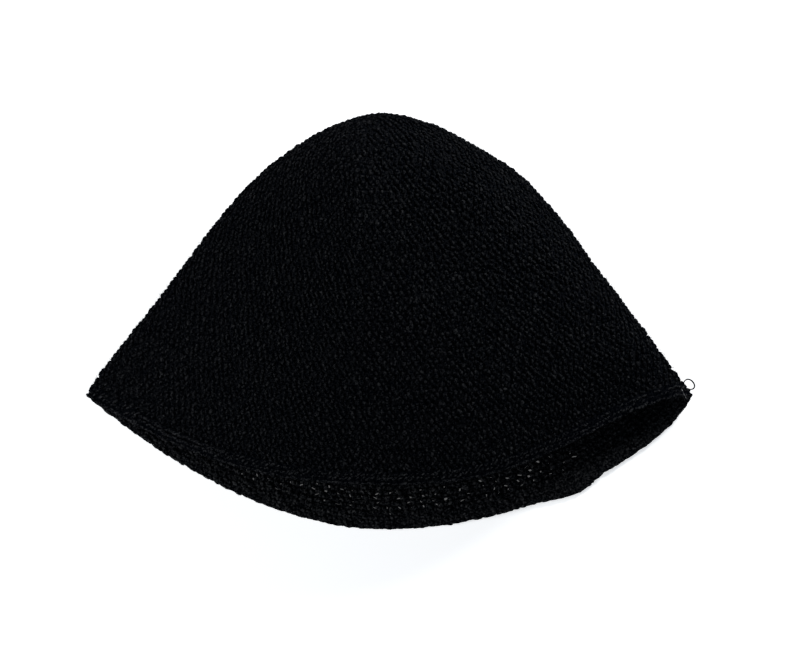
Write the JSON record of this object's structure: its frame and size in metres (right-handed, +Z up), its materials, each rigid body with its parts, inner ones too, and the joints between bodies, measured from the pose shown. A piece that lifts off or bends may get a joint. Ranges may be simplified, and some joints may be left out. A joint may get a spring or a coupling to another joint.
{
  "type": "bucket hat",
  "caption": "Soft bucket hat of worked black yarn lying flat on its back wall, with a round crown that flares into the brim and an edged open mouth for the head.",
  "frame": {"origin": "on the resting surface, under the middle of the lying hat's box", "axes": "+X across the hat from its left tip to its right tip, +Y from the mouth towards the crown, +Z up from the resting back wall to the front wall"},
  "size_m": [0.3947, 0.2699, 0.0934],
  "materials": {
    "body_yarn": "matte black yarn worked in close rounds, slightly fuzzy",
    "edging_yarn": "matte black yarn worked in slanted edge stitches"
  },
  "bodies": {
    "root": {"bell_body": "body_yarn", "rim_edging": "edging_yarn"}
  },
  "joints": []
}
